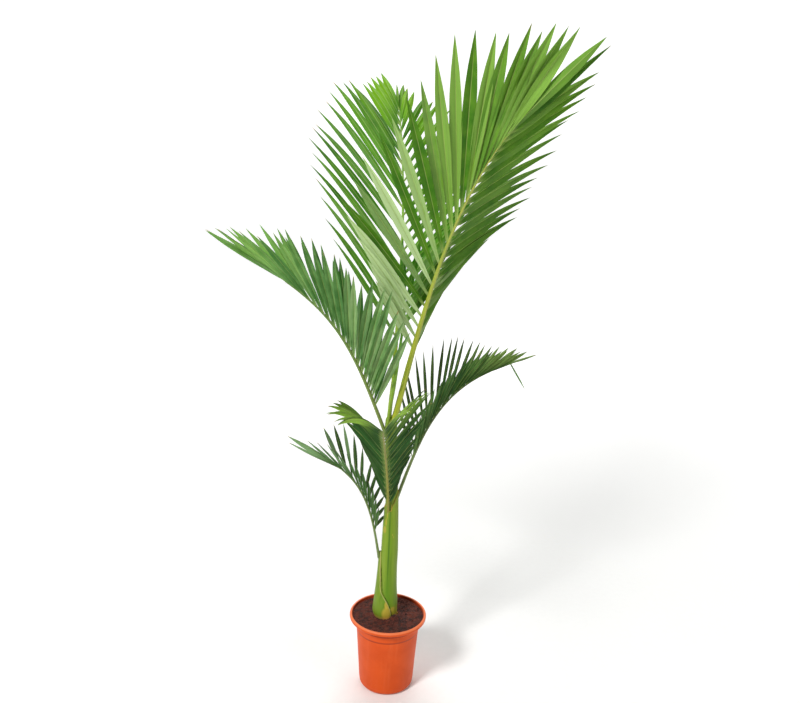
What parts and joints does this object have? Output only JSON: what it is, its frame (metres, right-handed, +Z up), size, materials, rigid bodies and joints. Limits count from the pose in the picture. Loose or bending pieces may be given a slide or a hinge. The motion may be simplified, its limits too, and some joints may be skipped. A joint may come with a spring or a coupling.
{
  "type": "potted palm",
  "caption": "Young feather palm: arching pinnate fronds on a slim green sheathed stem, rooted in soil in a plain round terracotta-coloured nursery pot with a rolled rim.",
  "frame": {"origin": "centre of the flat underside of the pot, on the surface that it stands on", "axes": "+Z up, +X to the right as seen from the front, -Y towards the viewer in front"},
  "size_m": [0.8268, 0.8302, 1.6029],
  "materials": {
    "pot_plastic": "moulded orange-brown plastic, satin",
    "potting_soil": "dark moist peat and bark, matt",
    "leaf_sheath": "smooth yellow-green living leaf sheath, satin",
    "palm_leaf": "living leaf blade, satin",
    "young_leaf": "young bright green leaf blade, satin"
  },
  "bodies": {
    "root": {"pot": "pot_plastic", "soil": "potting_soil", "stem": "leaf_sheath", "frond_upper_right": "palm_leaf", "frond_upper_back": "palm_leaf", "frond_left": "palm_leaf", "frond_right": "palm_leaf", "frond_front": "palm_leaf", "frond_low_left": "palm_leaf", "spear_leaf": "young_leaf"}
  },
  "joints": []
}
